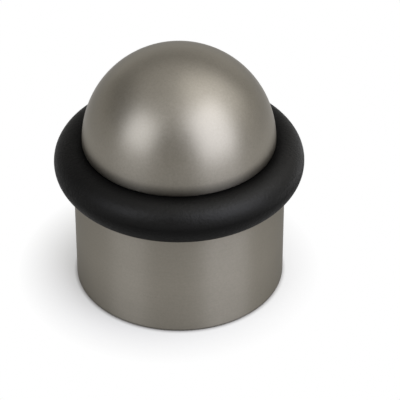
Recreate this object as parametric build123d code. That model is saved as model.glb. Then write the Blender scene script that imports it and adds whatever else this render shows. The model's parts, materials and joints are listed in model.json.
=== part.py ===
from build123d import *

import math
import os

# Floor door stop: a turned metal post with a domed head, and a rubber buffer ring in a groove under the head.
# Millimetres, +Z up. The origin is the centre of the base on the floor, and everything is round about Z.

# Metal post
BASE_DIAMETER = 38.0
HEAD_DIAMETER = 34.6
SKIRT_HEIGHT = 0.35  # straight band of the head, from the groove's lip up to the dome
FOOT_EDGE_RADIUS = 0.4
BASE_EDGE_RADIUS = 0.2  # where the base's side meets the groove
LIP_ROUNDING = 0.3  # how far up the skirt the lip's rounded edge runs

# Buffer ring
RING_SECTION_DIAMETER = 8.0
RING_PROJECTION = 3.4  # how far the ring stands out past the base, which is what the door meets
RING_HEIGHT = 24.6  # floor to the middle of the ring
RING_CLEARANCE = 0.05  # between the ring's section and the groove

# Underside
RELIEF_DIAMETER = 30.0
RELIEF_DEPTH = 0.8
RELIEF_EDGE_RADIUS = 0.4

# Tapped hole for an M8 stud, plain at the thread's outer diameter
THREAD_DIAMETER = 8.0
THREAD_LENGTH = 15.0  # from the mouth's chamfer to the end of the wall
MOUTH_CHAMFER = 0.8
DRILL_POINT_ANGLE = 118.0

BASE_RADIUS = BASE_DIAMETER / 2
HEAD_RADIUS = HEAD_DIAMETER / 2
THREAD_RADIUS = THREAD_DIAMETER / 2

# The ring's section is a circle of the XZ plane, and the groove's is the same circle, wider by the clearance.
SECTION_RADIUS = RING_SECTION_DIAMETER / 2
SECTION_CENTRE = (BASE_RADIUS + RING_PROJECTION - SECTION_RADIUS, RING_HEIGHT)
GROOVE_RADIUS = SECTION_RADIUS + RING_CLEARANCE


def groove_wall(radius, side):
    """The point of the groove's wall at that radius, above (side 1) or below (side -1) the ring's middle."""
    across = radius - SECTION_CENTRE[0]
    return (radius, SECTION_CENTRE[1] + side * math.sqrt(GROOVE_RADIUS**2 - across**2))


def lip_edge_radius():
    """The radius that takes LIP_ROUNDING of the skirt, for the angle at which the groove's wall meets it."""
    wall_lean = math.asin((HEAD_RADIUS - SECTION_CENTRE[0]) / GROOVE_RADIUS)
    corner_angle = math.pi / 2 - wall_lean
    return LIP_ROUNDING * math.tan(corner_angle / 2)


def round_corner(outline, point, radius):
    """Rounds the corner of the sketched outline that is at that point."""
    corner = outline.vertices().sort_by_distance(point)[0]
    fillet(corner, radius)


def turned_blank():
    """The post with a plain underside: base, groove and domed head, turned from one outline."""
    foot = (BASE_RADIUS, 0)
    base_top = groove_wall(BASE_RADIUS, -1)
    groove_root = (SECTION_CENTRE[0] - GROOVE_RADIUS, RING_HEIGHT)
    lip = groove_wall(HEAD_RADIUS, 1)
    dome_start = (HEAD_RADIUS, lip[1] + SKIRT_HEIGHT)
    dome_top = (0, dome_start[1] + HEAD_RADIUS)
    with BuildPart() as blank:
        with BuildSketch(Plane.XZ) as outline:
            with BuildLine():
                Polyline((0, 0), foot, base_top)
                ThreePointArc(base_top, groove_root, lip)
                Line(lip, dome_start)
                CenterArc((0, dome_start[1]), HEAD_RADIUS, 0, 90)
                Line(dome_top, (0, 0))
            make_face()
            round_corner(outline, foot, FOOT_EDGE_RADIUS)
            round_corner(outline, base_top, BASE_EDGE_RADIUS)
            round_corner(outline, lip, lip_edge_radius())
        revolve(axis=Axis.Z)
    return blank.part


def underside_relief():
    """The shallow recess that leaves a flat rim for the post to stand on."""
    recess = extrude(Circle(RELIEF_DIAMETER / 2), RELIEF_DEPTH)
    inner_corner = recess.edges().sort_by(Axis.Z)[-1]
    return fillet(inner_corner, RELIEF_EDGE_RADIUS)


def tapped_hole():
    """The blind hole up from the relief: a chamfered mouth, the thread's length and the drill's point."""
    wall_start = RELIEF_DEPTH + MOUTH_CHAMFER
    wall_end = wall_start + THREAD_LENGTH
    point_length = THREAD_RADIUS / math.tan(math.radians(DRILL_POINT_ANGLE / 2))
    section = Polygon(
        (0, RELIEF_DEPTH),
        (THREAD_RADIUS + MOUTH_CHAMFER, RELIEF_DEPTH),
        (THREAD_RADIUS, wall_start),
        (THREAD_RADIUS, wall_end),
        (0, wall_end + point_length),
        align=None,
    )
    return revolve(Plane.XZ * section, Axis.Z)


def stop_body():
    return turned_blank() - underside_relief() - tapped_hole()


def rubber_ring():
    section = Pos(SECTION_CENTRE[0], 0, SECTION_CENTRE[1]) * (Plane.XZ * Circle(SECTION_RADIUS))
    return revolve(section, Axis.Z)


def main():
    os.makedirs("parts", exist_ok=True)
    pieces = {"stop_body": stop_body(), "rubber_ring": rubber_ring()}
    for name, piece in pieces.items():
        piece.label = name
        export_step(piece, f"parts/{name}.step")


main()
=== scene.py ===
import json
import math

import bmesh
import bpy
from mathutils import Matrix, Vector


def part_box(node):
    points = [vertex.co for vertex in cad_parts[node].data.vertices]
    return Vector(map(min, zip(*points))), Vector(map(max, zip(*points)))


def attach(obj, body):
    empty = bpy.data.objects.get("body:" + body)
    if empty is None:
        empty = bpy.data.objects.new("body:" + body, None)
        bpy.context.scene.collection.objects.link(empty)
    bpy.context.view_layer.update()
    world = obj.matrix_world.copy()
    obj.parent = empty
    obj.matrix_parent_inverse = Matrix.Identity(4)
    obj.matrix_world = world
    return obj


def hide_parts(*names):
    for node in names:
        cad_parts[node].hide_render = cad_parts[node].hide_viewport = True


# Floor door stop, in metres, +Z up. Its axis is Z, and the origin is the centre of the base, on the floor.

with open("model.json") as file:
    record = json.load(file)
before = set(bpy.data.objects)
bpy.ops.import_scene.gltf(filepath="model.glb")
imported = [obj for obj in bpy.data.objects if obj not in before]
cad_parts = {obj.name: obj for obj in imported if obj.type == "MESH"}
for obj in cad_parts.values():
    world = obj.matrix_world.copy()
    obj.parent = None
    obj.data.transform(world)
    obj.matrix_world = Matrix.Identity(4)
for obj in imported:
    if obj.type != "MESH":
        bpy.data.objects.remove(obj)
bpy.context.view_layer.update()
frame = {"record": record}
BODY_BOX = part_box("stop_body")
RING_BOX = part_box("rubber_ring")
MM = 0.001

# Sizes taken from the frame
BASE_RADIUS = BODY_BOX[1].x
BODY_HEIGHT = BODY_BOX[1].z
RING_OUTER_RADIUS = RING_BOX[1].x
RING_SECTION_RADIUS = (RING_BOX[1].z - RING_BOX[0].z) / 2
RING_CENTRE_RADIUS = RING_OUTER_RADIUS - RING_SECTION_RADIUS
RING_HEIGHT = (RING_BOX[1].z + RING_BOX[0].z) / 2
MOUNTS = {mount["name"]: mount for mount in frame["record"]["mounts"]}
THREAD_RADIUS = MOUNTS["fixing_hole"]["dims"]["r_mm"] * MM
THREAD_LENGTH = MOUNTS["fixing_hole"]["dims"]["length_mm"] * MM
THREAD_START = MOUNTS["fixing_hole"]["pos_m"][2]

# Sizes that the frame does not state
HEAD_RADIUS = 17.3 * MM
FOOT_EDGE_RADIUS = 0.4 * MM
BASE_EDGE_RADIUS = 0.2 * MM
LIP_ROUNDING = 0.3 * MM  # how far up the skirt the lip's rounded edge runs
GROOVE_CLEARANCE = 0.05 * MM
RELIEF_RADIUS = 15.0 * MM
RELIEF_DEPTH = 0.8 * MM
RELIEF_EDGE_RADIUS = 0.4 * MM
MOUTH_CHAMFER = THREAD_START - RELIEF_DEPTH
DRILL_POINT_ANGLE = math.radians(118)
THREAD_PITCH = 1.25 * MM
THREAD_DEPTH = 0.677 * MM
THREAD_SINK = 0.03 * MM  # how far the ridge reaches into the hole's wall

GROOVE_RADIUS = RING_SECTION_RADIUS + GROOVE_CLEARANCE
LIP_ANGLE = math.pi / 2 - math.asin((HEAD_RADIUS - RING_CENTRE_RADIUS) / GROOVE_RADIUS)
LIP_EDGE_RADIUS = LIP_ROUNDING * math.tan(LIP_ANGLE / 2)
DOME_CENTRE = BODY_HEIGHT - HEAD_RADIUS

# Mesh density
ROUND_STEPS = 256
ARC_STEP = math.radians(3)
MAX_FACE = 1.2 * MM
SHARP_ANGLE = math.radians(25)
RING_SECTION_STEPS = 72
THREAD_STEPS_PER_TURN = 96
THREAD_RUN_OUT_STEPS = THREAD_STEPS_PER_TURN // 3

# Texture of the nickel: a grain, turning lines below the ring, and soft clouds
GRAIN_SCALE = 2600
TURNING_SCALE = 3400
TURNING_SHARE = 0.3
TURNING_CHANGE = 0.03  # how fast a turning line changes along its length, with 1 as how fast across it
CLOUD_SCALE = 170
NICKEL_BUMP_STRENGTH = 0.23
NICKEL_BUMP_DEPTH = 0.02 * MM

# Colour of the nickel. A tone from 0 to 1 runs from the dark colour to the light one.
NICKEL_DARK = (0.230, 0.213, 0.182)
NICKEL_LIGHT = (0.360, 0.333, 0.286)
NICKEL_TONE = 0.24
TONE_FROM_TEXTURE = 0.8
TONE_FROM_CLOUD = 0.2
TONE_BELOW_RING = -0.44
# Painted shade: the tone darkens towards the foot, for the floor's shadow seen in the metal, up to the
# height below
PAINTED_SHADE_AT_FOOT = -0.30
FOOT_SHADE_TONE_END = 10 * MM

# Painted shade on the nickel: a dark line over the head's lip, for the ring's shade and reflection,
# and another along the floor, for the contact shadow
PAINTED_SHADE_COLOUR = (0.06, 0.055, 0.048)
PAINTED_SHADE_STRENGTH = 0.8
LIP_SHADE_START = DOME_CENTRE - 0.35 * MM
LIP_SHADE_END = DOME_CENTRE + 1.9 * MM
FOOT_SHADE_START = 0.1 * MM
FOOT_SHADE_END = 0.6 * MM

# Gloss of the nickel
NICKEL_ROUGHNESS = 0.30
ROUGHNESS_FROM_TEXTURE = 0.16
ROUGHNESS_FROM_CLOUD = 0.04
ANISOTROPY_BELOW_RING = 0.92
ANISOTROPY_OF_HEAD = 0.82
ANISOTROPY_END = DOME_CENTRE + 0.8 * HEAD_RADIUS  # the height at which it has faded out
ANISOTROPY_ROTATION = 0.25  # a quarter turn, from round the axis to up and down
EDGE_TINT_LOW = 0.52
EDGE_TINT_HIGH = 0.74
EDGE_TINT_END = DOME_CENTRE + 0.6 * HEAD_RADIUS

# Rubber
RUBBER_DARK = (0.001, 0.001, 0.001)
RUBBER_LIGHT = (0.003, 0.003, 0.003)
RUBBER_GRAIN_SCALE = 1900
RUBBER_CLOUD_SCALE = 220
RUBBER_BUMP_STRENGTH = 0.7
RUBBER_BUMP_DEPTH = 0.14 * MM
RUBBER_ROUGHNESS = 0.44
RUBBER_ROUGHNESS_FROM_CLOUD = 0.1
RUBBER_ROUGHNESS_FROM_GRAIN = 0.24
RUBBER_ROUGHNESS_OF_SHOULDER = -0.28
RUBBER_SPECULAR = 0.09
RUBBER_SPECULAR_OF_SHOULDER = 0.28
RUBBER_SPECULAR_TINT = (1.0, 0.985, 0.96, 1)

# The ring's glossier shoulder, between its top and its outside, and the side on which it is glossiest
SHOULDER_OUTWARD = 0.64
SHOULDER_UPWARD = 0.77
SHOULDER_START = 0.7 * RING_SECTION_RADIUS
GLOSSY_SIDE = (0.45, -0.89, 0.0)
GLOSSY_SIDE_START = 0.1 * RING_CENTRE_RADIUS
GLOSSY_SIDE_END = 0.85 * RING_CENTRE_RADIUS
GLOSS_ELSEWHERE = 0.25

# Floor. It has a painted contact shadow under the object and just round its foot, takes the shadow near the
# object, is plain white round that, and is pale grey further off.
FLOOR_HALF = 20.0  # half of its side
CONTACT_SHADOW_START = BASE_RADIUS - 0.4 * MM
CONTACT_SHADOW_END = BASE_RADIUS + 0.6 * MM
PAINTED_CONTACT_SHADOW = (0.30, 0.28, 0.26)
PAPER = (0.857, 0.85, 0.838)
SHADOW_CENTRE = Vector((-2 * MM, 0, 0))
SHADOW_START = 17 * MM
SHADOW_END = 28 * MM
SHADOW_LIFT = 0.25  # the share of plain white in the middle of the shadow
WHITE = (1, 1, 1, 1)
WHITE_CENTRE = Vector((10 * MM, 30 * MM, 0))
WHITE_END = 83 * MM
DIM_END = 110 * MM
FAR_LEVEL = 0.55

# Studio. It is as pale as the far floor up to the first angle, and as dim as the room from the second on.
HORIZON_ANGLE = math.radians(6)
ROOM_ANGLE = math.radians(14)
ROOM_LEFT = 0.21
ROOM_RIGHT = 0.37
ROOM_COLOUR = (1.03, 1.0, 0.93, 1)
LAMP_DISTANCE = 0.7
KEY_COLOUR = (0.96, 0.995, 1.13)
FILL_COLOUR = (0.965, 1.0, 1.10)

# Camera, fitted to the outlines in the photograph
CAMERA_ELEVATION = math.radians(36.33)
CAMERA_DISTANCE = 0.4006
CAMERA_AIM = Vector((0.003725, 0, 0.015187))
SENSOR_WIDTH = 36.0
CAMERA_LENS = 198.6
CLIP_START = 0.01
CLIP_END = 10


def link(name, mesh):
    """A new object in the scene for that mesh."""
    piece = bpy.data.objects.new(name, mesh)
    bpy.context.scene.collection.objects.link(piece)
    return piece


def full_turn(steps):
    """The angles of that many even steps round a circle."""
    return [2 * math.pi * i / steps for i in range(steps)]


def turned_point(radius, turn, height):
    return (radius * math.cos(turn), radius * math.sin(turn), height)


def skin(form, sections):
    """Faces from each closed section of vertices to the next."""
    for here, there in zip(sections, sections[1:]):
        for i in range(len(here)):
            j = (i + 1) % len(here)
            form.faces.new((here[i], there[i], there[j], here[j]))


def finished_mesh(name, form):
    """The form as a mesh, shaded smooth between its sharp edges."""
    bmesh.ops.recalc_face_normals(form, faces=form.faces)
    mesh = bpy.data.meshes.new(name)
    form.to_mesh(mesh)
    form.free()
    mesh.shade_smooth()
    mesh.set_sharp_from_angle(angle=SHARP_ANGLE)
    return mesh


def lathe(name, outline):
    """A mesh turned about Z from an outline of (radius, height) points that starts and ends on the axis."""
    form = bmesh.new()
    turns = full_turn(ROUND_STEPS)
    rings = []
    for radius, height in outline:
        stops = turns if radius > 0 else turns[:1]
        rings.append([form.verts.new(turned_point(radius, turn, height)) for turn in stops])
    for lower, upper in zip(rings, rings[1:]):
        for i in range(ROUND_STEPS):
            j = (i + 1) % ROUND_STEPS
            below = [lower[i % len(lower)], lower[j % len(lower)]]
            above = [upper[j % len(upper)], upper[i % len(upper)]]
            form.faces.new(list(dict.fromkeys(below + above)))
    return finished_mesh(name, form)


def line(start, end):
    """Points from start to end, without the end, no further apart than the largest face."""
    steps = max(1, math.ceil(math.dist(start, end) / MAX_FACE))
    return [tuple(a + (b - a) * i / steps for a, b in zip(start, end)) for i in range(steps)]


def arc(centre, radius, start, end):
    """Points of an arc, both ends included, with angles from the outward direction."""
    steps = max(2, math.ceil(abs(end - start) / ARC_STEP))
    angles = [start + (end - start) * i / steps for i in range(steps + 1)]
    return [(centre[0] + radius * math.cos(a), centre[1] + radius * math.sin(a)) for a in angles]


def round_edge_on_groove(side_radius, edge_radius, side):
    """The centre of the arc that rounds a side wall into the groove, above (1) or below (-1) the ring."""
    across = RING_CENTRE_RADIUS - (side_radius - edge_radius)
    reach = GROOVE_RADIUS + edge_radius
    return (side_radius - edge_radius, RING_HEIGHT + side * math.sqrt(reach**2 - across**2))


def groove_angle(edge_centre):
    """The angle, about the ring's section, at which the groove meets that edge."""
    return math.atan2(edge_centre[1] - RING_HEIGHT, edge_centre[0] - RING_CENTRE_RADIUS)


def outer_outline():
    """The post from the rim of its foot up to the top of the dome."""
    quarter = math.pi / 2
    base_edge = round_edge_on_groove(BASE_RADIUS, BASE_EDGE_RADIUS, -1)
    lip = round_edge_on_groove(HEAD_RADIUS, LIP_EDGE_RADIUS, 1)
    section = (RING_CENTRE_RADIUS, RING_HEIGHT)
    low, high = groove_angle(base_edge) % (2 * math.pi), groove_angle(lip)
    foot = arc((BASE_RADIUS - FOOT_EDGE_RADIUS, FOOT_EDGE_RADIUS), FOOT_EDGE_RADIUS, -quarter, 0)
    base_arc = arc(base_edge, BASE_EDGE_RADIUS, 0, low - math.pi)
    groove = arc(section, GROOVE_RADIUS, low, high)
    lip_arc = arc(lip, LIP_EDGE_RADIUS, high - math.pi, 0)
    dome = arc((0, DOME_CENTRE), HEAD_RADIUS, 0, quarter)
    side = line(foot[-1], base_arc[0])[1:]
    return foot + side + base_arc + groove[1:-1] + lip_arc + dome[:-1] + [(0, BODY_HEIGHT)]


def underside_outline():
    """The post's underside from the drill's point out to the rim of the foot."""
    wall_end = THREAD_START + THREAD_LENGTH
    tip = wall_end + THREAD_RADIUS / math.tan(DRILL_POINT_ANGLE / 2)
    mouth = THREAD_RADIUS + MOUTH_CHAMFER
    corner = RELIEF_RADIUS - RELIEF_EDGE_RADIUS
    relief_arc = arc((corner, RELIEF_DEPTH - RELIEF_EDGE_RADIUS), RELIEF_EDGE_RADIUS, math.pi / 2, 0)
    points = line((0, tip), (THREAD_RADIUS, wall_end))
    points += line((THREAD_RADIUS, wall_end), (THREAD_RADIUS, THREAD_START))
    points += line((THREAD_RADIUS, THREAD_START), (mouth, RELIEF_DEPTH))
    points += line((mouth, RELIEF_DEPTH), relief_arc[0]) + relief_arc
    points += line((RELIEF_RADIUS, 0), (BASE_RADIUS - FOOT_EDGE_RADIUS, 0))
    return points


def make_post():
    """The turned post, with its flat faces shaded flat."""
    post = link("post", lathe("post", underside_outline() + outer_outline()))
    weighted = post.modifiers.new("flat_faces_stay_flat", "WEIGHTED_NORMAL")
    weighted.keep_sharp = True
    return post


def make_ring():
    """The buffer ring: a round section carried round the axis."""
    form = bmesh.new()
    sections = []
    for turn in full_turn(ROUND_STEPS):
        section = []
        for tilt in full_turn(RING_SECTION_STEPS):
            radius = RING_CENTRE_RADIUS + RING_SECTION_RADIUS * math.cos(tilt)
            height = RING_HEIGHT + RING_SECTION_RADIUS * math.sin(tilt)
            section.append(form.verts.new(turned_point(radius, turn, height)))
        sections.append(section)
    skin(form, sections + sections[:1])
    return link("buffer_ring", finished_mesh("buffer_ring", form))


def make_thread():
    """The ridge of the tapped hole: one helix that rises from the wall and runs out into it at both ends.

    As on a metric thread, it is seven eighths of the pitch wide at the wall and a quarter at its crest.
    """
    wall = THREAD_RADIUS + THREAD_SINK
    half_root = THREAD_PITCH * 7 / 16
    half_crest = THREAD_PITCH / 8
    turns = THREAD_LENGTH / THREAD_PITCH - 1
    steps = round(turns * THREAD_STEPS_PER_TURN)
    form = bmesh.new()
    sections = []
    for i in range(steps + 1):
        turn = 2 * math.pi * i / THREAD_STEPS_PER_TURN
        height = THREAD_START + THREAD_PITCH / 2 + THREAD_PITCH * i / THREAD_STEPS_PER_TURN
        rise = min(1.0, i / THREAD_RUN_OUT_STEPS, (steps - i) / THREAD_RUN_OUT_STEPS)
        crest = THREAD_RADIUS - THREAD_DEPTH * rise
        corners = (wall, -half_root), (crest, -half_crest), (crest, half_crest), (wall, half_root)
        places = [turned_point(radius, turn, height + up) for radius, up in corners]
        sections.append([form.verts.new(place) for place in places])
    skin(form, sections)
    form.faces.new(sections[0])
    form.faces.new(sections[-1])
    return link("fixing_thread", finished_mesh("fixing_thread", form))


class Nodes:
    """Short calls for building the node tree of one material or of the world."""

    def __init__(self, owner):
        owner.use_nodes = True
        self.tree = owner.node_tree
        self.tree.nodes.clear()

    def add(self, kind, inputs=(), **settings):
        """A node of that kind. inputs maps a socket's name or number to a value or a node's output."""
        node = self.tree.nodes.new(kind)
        for key, value in settings.items():
            setattr(node, key, value)
        for key, value in dict(inputs).items():
            if isinstance(value, bpy.types.NodeSocket):
                self.tree.links.new(value, node.inputs[key])
            else:
                node.inputs[key].default_value = value
        return node

    def math(self, operation, *values):
        return self.add("ShaderNodeMath", enumerate(values), operation=operation).outputs[0]

    def vector(self, operation, first, second, output="Vector"):
        return self.add("ShaderNodeVectorMath", {0: first, 1: second}, operation=operation).outputs[output]

    def distance(self, place, centre=(0, 0, 0)):
        return self.vector("DISTANCE", place, centre, "Value")

    def round_place(self):
        """The place on the object as a vector, its distance from the axis and its height."""
        place = self.add("ShaderNodeTexCoord").outputs["Object"]
        x, y, z = self.add("ShaderNodeSeparateXYZ", {0: place}).outputs
        flat = self.add("ShaderNodeCombineXYZ", {0: x, 1: y}).outputs[0]
        return place, self.distance(flat), z

    def sum(self, *parts, plus=None):
        """The sum of (share, value) pairs, and of the number plus where it is given."""
        terms = [self.math("MULTIPLY", value, share) for share, value in parts]
        if plus is not None:
            terms.append(plus)
        total = terms[0]
        for term in terms[1:]:
            total = self.math("ADD", total, term)
        return total

    def ramp(self, value, start, end, first=0.0, last=1.0):
        """first where value is at start or below, last from end on, and an even slope between."""
        inputs = {"Value": value, "From Min": start, "From Max": end, "To Min": first, "To Max": last}
        return self.add("ShaderNodeMapRange", inputs).outputs[0]

    def blend(self, amount, first, second):
        """A mix of two numbers, which go into sockets 2 and 3."""
        return self.add("ShaderNodeMix", {0: amount, 2: first, 3: second}).outputs[0]

    def colour(self, amount, first, second):
        """A mix of two colours, written out or other nodes' outputs, which go into sockets 6 and 7."""
        first, second = (c if isinstance(c, bpy.types.NodeSocket) else (*c, 1) for c in (first, second))
        return self.add("ShaderNodeMix", {0: amount, 6: first, 7: second}, data_type="RGBA").outputs[2]

    def noise(self, vector, scale, detail=2.0, roughness=0.5):
        inputs = {"Vector": vector, "Scale": scale, "Detail": detail, "Roughness": roughness}
        return self.add("ShaderNodeTexNoise", inputs).outputs[0]

    def bump(self, height, strength, depth):
        inputs = {"Strength": strength, "Distance": depth, "Height": height}
        return self.add("ShaderNodeBump", inputs).outputs[0]


def nickel_texture(n, place, from_axis, z, below_ring):
    """A fine even grain, and below the ring fine turning lines in it."""
    round_axis = n.vector("MULTIPLY", place, (TURNING_CHANGE, TURNING_CHANGE, 0))
    across = n.add("ShaderNodeCombineXYZ", {2: n.math("ADD", z, from_axis)}).outputs[0]
    lines = n.noise(n.vector("ADD", round_axis, across), TURNING_SCALE, detail=3, roughness=0.65)
    grain = n.noise(place, GRAIN_SCALE, detail=3, roughness=0.6)
    return n.blend(below_ring, grain, n.sum((TURNING_SHARE, lines), (1 - TURNING_SHARE, grain)))


def nickel_colour(n, z, below_ring, texture, cloud):
    """The plate's colour, with painted shade over the head's lip, along the floor and towards the foot."""
    # Painted shade: the tone darkens towards the foot.
    painted_foot_darkening = n.ramp(z, 0.0, FOOT_SHADE_TONE_END, 1.0, 0.0)
    mottle = (TONE_FROM_TEXTURE, texture), (TONE_FROM_CLOUD, cloud)
    tone = n.sum(*mottle, (TONE_BELOW_RING, below_ring), (PAINTED_SHADE_AT_FOOT, painted_foot_darkening), plus=NICKEL_TONE)
    # Painted shade: dark lines over the head's lip and along the floor.
    lip_shade_ramp = n.ramp(z, LIP_SHADE_START, LIP_SHADE_END, PAINTED_SHADE_STRENGTH, 0.0)
    painted_lip_shade = n.math("MULTIPLY", lip_shade_ramp, n.math("SUBTRACT", 1.0, below_ring))
    painted_foot_shade = n.ramp(z, FOOT_SHADE_START, FOOT_SHADE_END, PAINTED_SHADE_STRENGTH, 0.0)
    painted_shade = n.math("ADD", painted_lip_shade, painted_foot_shade)
    return n.colour(painted_shade, n.colour(tone, NICKEL_DARK, NICKEL_LIGHT), PAINTED_SHADE_COLOUR)


def nickel_plate():
    """Satin nickel. Its highlights stretch up and down, as on turned metal, less so high on the dome."""
    material = bpy.data.materials.new("nickel_plate")
    n = Nodes(material)
    place, from_axis, z = n.round_place()
    below_ring = n.math("LESS_THAN", z, RING_HEIGHT)
    texture = nickel_texture(n, place, from_axis, z, below_ring)
    cloud = n.noise(place, CLOUD_SCALE, detail=3, roughness=0.55)
    mottle = (ROUGHNESS_FROM_TEXTURE, texture), (ROUGHNESS_FROM_CLOUD, cloud)
    up_the_dome = n.ramp(z, DOME_CENTRE, ANISOTROPY_END, ANISOTROPY_OF_HEAD, 0.0)
    extra_below_ring = ANISOTROPY_BELOW_RING - ANISOTROPY_OF_HEAD
    tangent = n.add("ShaderNodeTangent", direction_type="RADIAL", axis="Z")
    shader = n.add(
        "ShaderNodeBsdfPrincipled",
        {
            "Base Color": nickel_colour(n, z, below_ring, texture, cloud),
            "Metallic": 1.0,
            "Roughness": n.sum(*mottle, plus=NICKEL_ROUGHNESS),
            "Specular Tint": n.ramp(z, RING_HEIGHT, EDGE_TINT_END, EDGE_TINT_LOW, EDGE_TINT_HIGH),
            "Anisotropic": n.sum((1.0, up_the_dome), (extra_below_ring, below_ring)),
            "Anisotropic Rotation": ANISOTROPY_ROTATION,
            "Normal": n.bump(texture, NICKEL_BUMP_STRENGTH, NICKEL_BUMP_DEPTH),
            "Tangent": tangent.outputs[0],
        },
    )
    n.add("ShaderNodeOutputMaterial", {"Surface": shader.outputs[0]})
    return material


def glossy_shoulder(n, place, from_axis, z):
    """1 on the shoulder's crest at the ring's glossy side, less elsewhere on the shoulder, and 0 off it."""
    outward = n.math("SUBTRACT", from_axis, RING_CENTRE_RADIUS)
    upward = n.math("SUBTRACT", z, RING_HEIGHT)
    to_crest = n.sum((SHOULDER_OUTWARD, outward), (SHOULDER_UPWARD, upward))
    crest = n.ramp(to_crest, SHOULDER_START, RING_SECTION_RADIUS)
    to_side = n.vector("DOT_PRODUCT", place, GLOSSY_SIDE, "Value")
    side = n.ramp(to_side, GLOSSY_SIDE_START, GLOSSY_SIDE_END, GLOSS_ELSEWHERE, 1.0)
    return n.math("MULTIPLY", crest, side)


def moulded_rubber():
    """Matt black rubber with a fine moulded grain, a little glossier on its shoulder."""
    material = bpy.data.materials.new("moulded_rubber")
    n = Nodes(material)
    place, from_axis, z = n.round_place()
    grain = n.noise(place, RUBBER_GRAIN_SCALE, detail=5, roughness=0.65)
    cloud = n.noise(place, RUBBER_CLOUD_SCALE, detail=3)
    shoulder = glossy_shoulder(n, place, from_axis, z)
    mottle = (RUBBER_ROUGHNESS_FROM_CLOUD, cloud), (RUBBER_ROUGHNESS_FROM_GRAIN, grain)
    smoother = (RUBBER_ROUGHNESS_OF_SHOULDER, shoulder)
    shader = n.add(
        "ShaderNodeBsdfPrincipled",
        {
            "Base Color": n.colour(cloud, RUBBER_DARK, RUBBER_LIGHT),
            "Roughness": n.sum(*mottle, smoother, plus=RUBBER_ROUGHNESS),
            "Specular IOR Level": n.ramp(shoulder, 0.0, 1.0, RUBBER_SPECULAR, RUBBER_SPECULAR_OF_SHOULDER),
            "Specular Tint": RUBBER_SPECULAR_TINT,
            "Normal": n.bump(grain, RUBBER_BUMP_STRENGTH, RUBBER_BUMP_DEPTH),
        },
    )
    n.add("ShaderNodeOutputMaterial", {"Surface": shader.outputs[0]})
    return material


def pale_floor():
    """A white floor that takes the object's shadow and fades to plain white beside it.

    The plain white is what the camera, reflections and glass see. It lights nothing else. Round its foot
    the floor has a painted contact shadow.
    """
    material = bpy.data.materials.new("pale_floor")
    n = Nodes(material)
    place = n.add("ShaderNodeTexCoord").outputs["Object"]
    # Painted contact shadow: darker paper under the object and just round its foot, with no plain white
    # there.
    clear_of_contact_shadow = n.ramp(n.distance(place), CONTACT_SHADOW_START, CONTACT_SHADOW_END)
    paper = n.add("ShaderNodeBsdfDiffuse", {"Color": n.colour(clear_of_contact_shadow, PAINTED_CONTACT_SHADOW, PAPER)}).outputs[0]
    level = n.ramp(n.distance(place, WHITE_CENTRE), WHITE_END, DIM_END, 1.0, FAR_LEVEL)
    white = n.add("ShaderNodeEmission", {"Color": WHITE, "Strength": level}).outputs[0]
    rays = n.add("ShaderNodeLightPath").outputs
    not_camera = n.math("MAXIMUM", rays["Is Glossy Ray"], rays["Is Transmission Ray"])
    seen = n.math("MAXIMUM", rays["Is Camera Ray"], not_camera)
    outside = n.ramp(n.distance(place, SHADOW_CENTRE), SHADOW_START, SHADOW_END, SHADOW_LIFT, 1.0)
    share = n.math("MULTIPLY", n.math("MULTIPLY", clear_of_contact_shadow, outside), seen)
    surface = n.add("ShaderNodeMixShader", {0: share, 1: paper, 2: white}).outputs[0]
    n.add("ShaderNodeOutputMaterial", {"Surface": surface})
    return material


def make_floor():
    half = FLOOR_HALF
    mesh = bpy.data.meshes.new("floor")
    corners = [(-half, -half, 0), (half, -half, 0), (half, half, 0), (-half, half, 0)]
    mesh.from_pydata(corners, [], [(0, 1, 2, 3)])
    floor = link("floor", mesh)
    floor.data.materials.append(pale_floor())


def make_world():
    """A studio that is as pale as the far floor round the horizon, and dim above, dimmer on the left."""
    world = bpy.data.worlds.new("studio")
    bpy.context.scene.world = world
    n = Nodes(world)
    direction = n.add("ShaderNodeTexCoord").outputs["Generated"]
    x, _, z = n.add("ShaderNodeSeparateXYZ", {0: direction}).outputs
    room = n.ramp(x, -1.0, 1.0, ROOM_LEFT, ROOM_RIGHT)
    level = n.ramp(z, math.sin(HORIZON_ANGLE), math.sin(ROOM_ANGLE), FAR_LEVEL, room)
    background = n.add("ShaderNodeBackground", {"Color": ROOM_COLOUR, "Strength": level})
    n.add("ShaderNodeOutputWorld", {"Surface": background.outputs[0]})


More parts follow.
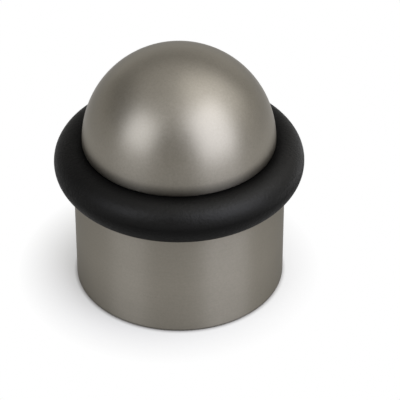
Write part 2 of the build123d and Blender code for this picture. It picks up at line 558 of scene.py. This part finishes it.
def softbox(name, right, up, size, radiance, colour=(1, 1, 1), distance=LAMP_DISTANCE):
    """A rectangular lamp that faces the object, at degrees right of the camera's side and up."""
    right, up = math.radians(right), math.radians(up)
    width, height = size
    towards = Vector((math.cos(up) * math.sin(right), -math.cos(up) * math.cos(right), math.sin(up)))
    lamp = bpy.data.lights.new(name, "AREA")
    lamp.shape = "RECTANGLE"
    lamp.size = width
    lamp.size_y = height
    lamp.energy = radiance * math.pi * width * height
    lamp.color = colour
    holder = bpy.data.objects.new(name, lamp)
    bpy.context.scene.collection.objects.link(holder)
    holder.location = Vector((0, 0, RING_HEIGHT)) + towards * distance
    holder.rotation_mode = "QUATERNION"
    holder.rotation_quaternion = towards.to_track_quat("Z", "Y")


def make_lights():
    softbox("key_right", right=49, up=32, size=(0.60, 0.78), radiance=2.26, colour=KEY_COLOUR)
    softbox("fill_left", right=-54, up=29, size=(0.45, 0.45), radiance=2.20, colour=FILL_COLOUR)
    softbox("side_right", right=99, up=53, size=(0.60, 0.90), radiance=0.79)
    softbox("back_panel", right=180, up=14, size=(1.05, 0.34), radiance=0.29)
    softbox("overhead", right=0, up=90, size=(2.0, 2.0), radiance=0.35, distance=1.0)


def make_camera():
    camera = bpy.data.cameras.new("camera")
    camera.sensor_width = SENSOR_WIDTH
    camera.lens = CAMERA_LENS
    camera.clip_start = CLIP_START
    camera.clip_end = CLIP_END
    holder = bpy.data.objects.new("camera", camera)
    bpy.context.scene.collection.objects.link(holder)
    back = Vector((0, -math.cos(CAMERA_ELEVATION), math.sin(CAMERA_ELEVATION)))
    holder.location = CAMERA_AIM + back * CAMERA_DISTANCE
    holder.rotation_mode = "QUATERNION"
    holder.rotation_quaternion = (-back).to_track_quat("-Z", "Y")
    bpy.context.scene.camera = holder


def dress():
    """The post and the ring in the place of the frame's nodes, and the thread, which no node has."""
    nickel = nickel_plate()
    rubber = moulded_rubber()
    for piece, material, slot, node in (
        (make_post(), nickel, "satin_nickel", "stop_body"),
        (make_ring(), rubber, "black_rubber", "rubber_ring"),
        (make_thread(), nickel, "satin_nickel", None),
    ):
        piece.data.materials.append(material)
        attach(piece, "root")
        if node:
            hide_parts(node)


dress()
make_floor()
make_world()
make_lights()
make_camera()
bpy.context.scene.view_settings.view_transform = "Standard"
